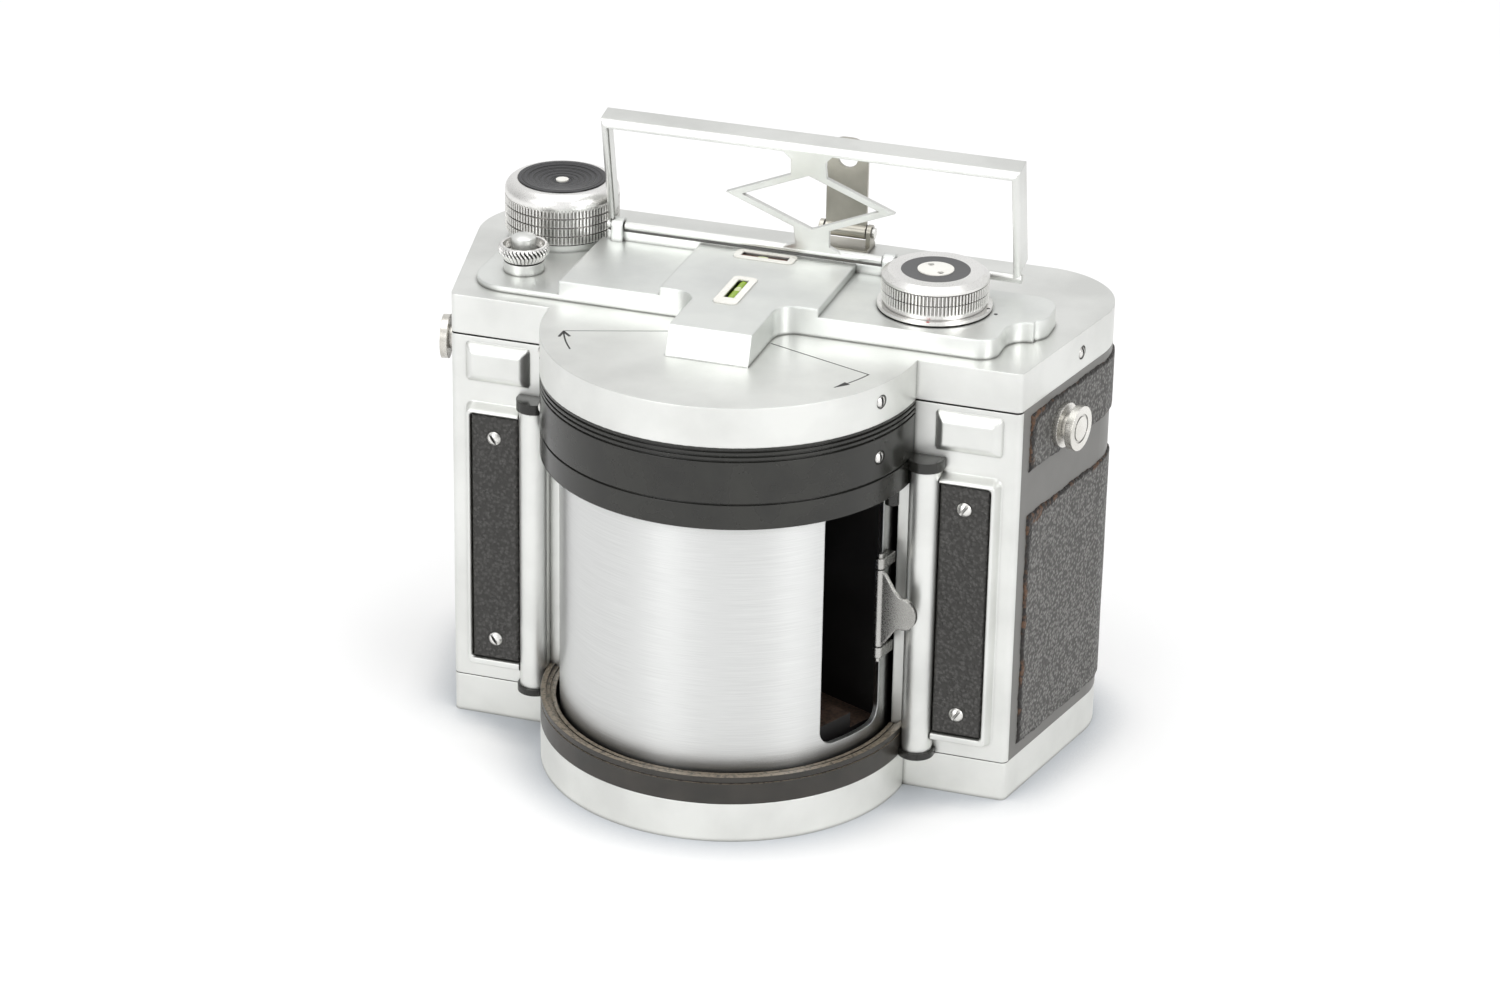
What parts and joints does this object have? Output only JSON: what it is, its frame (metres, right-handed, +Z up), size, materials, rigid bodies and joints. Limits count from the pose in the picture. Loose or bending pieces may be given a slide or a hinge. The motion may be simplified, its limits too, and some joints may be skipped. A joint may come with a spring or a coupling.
{
  "type": "panoramic camera",
  "caption": "Swing-lens roll-film panoramic camera: a slotted lens drum in a round-fronted metal body, with wind and speed knobs, levels, folding frame finder and hinged back.",
  "frame": {"origin": "on the drum's axis, in the flat underside of the base", "axes": "+X to the right seen from the front, +Y to the rear (the front faces -Y), +Z up along the drum's axis"},
  "size_m": [0.1474, 0.1019, 0.1353],
  "materials": {
    "satin_aluminium": "satin, fine grain",
    "brushed_drum": "brushed round the drum",
    "dark_paint": "semi-gloss grey-black paint",
    "black_enamel": "semi-gloss black enamel",
    "dull_black": "matt black",
    "grained_leather": "pebbled leather",
    "steel": "turned steel",
    "chrome_tab": "polished chrome",
    "nickel_sight": "worn nickel",
    "lens_glass": "coated glass",
    "vial_glass": "tinted spirit level",
    "pale_enamel": "off-white enamel",
    "spool_black": "matt",
    "red_pane": "clear red",
    "brass_bush": "turned brass"
  },
  "bodies": {
    "camera_body": {"base_plate": "satin_aluminium", "tripod_bush": "brass_bush", "base_screws": "steel", "body_shell": "dark_paint", "front_panel_left": "satin_aluminium", "front_panel_right": "satin_aluminium", "front_leather": "grained_leather", "front_screws": "steel", "columns": "satin_aluminium", "column_caps": "black_enamel", "lower_ring": "black_enamel", "upper_ring": "black_enamel", "cover_screws": "steel", "top_cover": "satin_aluminium", "deck_casting": "satin_aluminium", "level_bezels": "pale_enamel", "level_vials": "vial_glass", "leather_upper": "grained_leather", "leather_lower": "grained_leather", "strap_lugs": "satin_aluminium", "film_gate": "dull_black", "spool_studs": "steel", "release_sleeve": "satin_aluminium", "finder_rod": "steel", "sight_bracket": "nickel_sight", "sight_pin": "steel", "hinge_pin": "steel"},
    "lens_drum": {"drum": "brushed_drum", "drum_axles": "steel", "lens_box": "dull_black", "lens_barrel": "dull_black", "lens_front": "lens_glass", "lens_rear": "lens_glass", "rear_hood": "dull_black", "tab_hinge": "chrome_tab"},
    "tab": {"finger_tab": "chrome_tab"},
    "diaphragm_wheel": {"aperture_wheel": "steel"},
    "winder": {"wind_knob": "satin_aluminium", "wind_cap": "black_enamel", "wind_centre": "pale_enamel", "wind_shaft": "steel", "takeup_spool": "spool_black"},
    "collar": {"release_collar": "satin_aluminium"},
    "button": {"release_button": "steel"},
    "speed_dial": {"speed_knob": "satin_aluminium", "speed_flange": "satin_aluminium", "speed_ring": "black_enamel", "speed_cap": "pale_enamel", "speed_shaft": "steel"},
    "finder": {"finder_frame": "satin_aluminium"},
    "sight": {"rear_sight": "nickel_sight"},
    "door": {"back_door": "dark_paint", "door_leather": "grained_leather", "red_window": "red_pane", "window_ring": "satin_aluminium"},
    "latch": {"door_latch": "satin_aluminium"},
    "supply": {"supply_spool": "spool_black"},
    "roller_left": {"film_roller_left": "satin_aluminium"},
    "roller_right": {"film_roller_right": "satin_aluminium"}
  },
  "joints": [
    {"name": "drum_swing", "type": "hinge", "parent": "camera_body", "child": "lens_drum", "pos_m": [0, 0, 0.0457], "axis": [0, 0, -1], "range_deg": [0, 130.6]},
    {"name": "tab_fold", "type": "hinge", "parent": "lens_drum", "child": "tab", "pos_m": [0.03651, -0.00897, 0.0457], "axis": [0, 0, -1], "range_deg": [0, 75]},
    {"name": "wheel_turn", "type": "hinge", "parent": "lens_drum", "child": "diaphragm_wheel", "pos_m": [0.0268, -0.01497, 0.0726], "axis": [0.9085, -0.4179, 0], "range_deg": [-60, 60]},
    {"name": "wind_turn", "type": "hinge", "parent": "camera_body", "child": "winder", "pos_m": [-0.0525, 0.0375, 0.1], "axis": [0, 0, 1], "continuous": true},
    {"name": "collar_turn", "type": "hinge", "parent": "camera_body", "child": "collar", "pos_m": [-0.0527, 0.0142, 0.106], "axis": [0, 0, 1], "range_deg": [0, 60]},
    {"name": "release_press", "type": "slide", "parent": "camera_body", "child": "button", "axis": [0, 0, -1], "range_m": [0, 0.0022], "stiffness_N_per_m": 300, "springref_m": -0.002},
    {"name": "speed_turn", "type": "hinge", "parent": "camera_body", "child": "speed_dial", "pos_m": [0.0389, 0.0182, 0.106], "axis": [0, 0, 1], "range_deg": [0, 81]},
    {"name": "finder_fold", "type": "hinge", "parent": "camera_body", "child": "finder", "pos_m": [0.0078, 0.031, 0.1083], "axis": [1, 0, 0], "range_deg": [-12, 78]},
    {"name": "sight_fold", "type": "hinge", "parent": "camera_body", "child": "sight", "pos_m": [0.0079, 0.0554, 0.1043], "axis": [1, 0, 0], "range_deg": [0, 90]},
    {"name": "door_open", "type": "hinge", "parent": "camera_body", "child": "door", "pos_m": [-0.07137, 0.04956, 0.05], "axis": [0, 0, 1], "range_deg": [0, 110]},
    {"name": "latch_slide", "type": "slide", "parent": "door", "child": "latch", "axis": [0, 0, 1], "range_m": [0, 0.005]},
    {"name": "supply_turn", "type": "hinge", "parent": "camera_body", "child": "supply", "pos_m": [0.0525, 0.0375, 0.0457], "axis": [0, 0, 1], "continuous": true},
    {"name": "roller_left_turn", "type": "hinge", "parent": "camera_body", "child": "roller_left", "pos_m": [-0.0564, 0.0086, 0.0457], "axis": [0, 0, 1], "continuous": true},
    {"name": "roller_right_turn", "type": "hinge", "parent": "camera_body", "child": "roller_right", "pos_m": [0.0564, 0.0086, 0.0457], "axis": [0, 0, 1], "continuous": true}
  ]
}
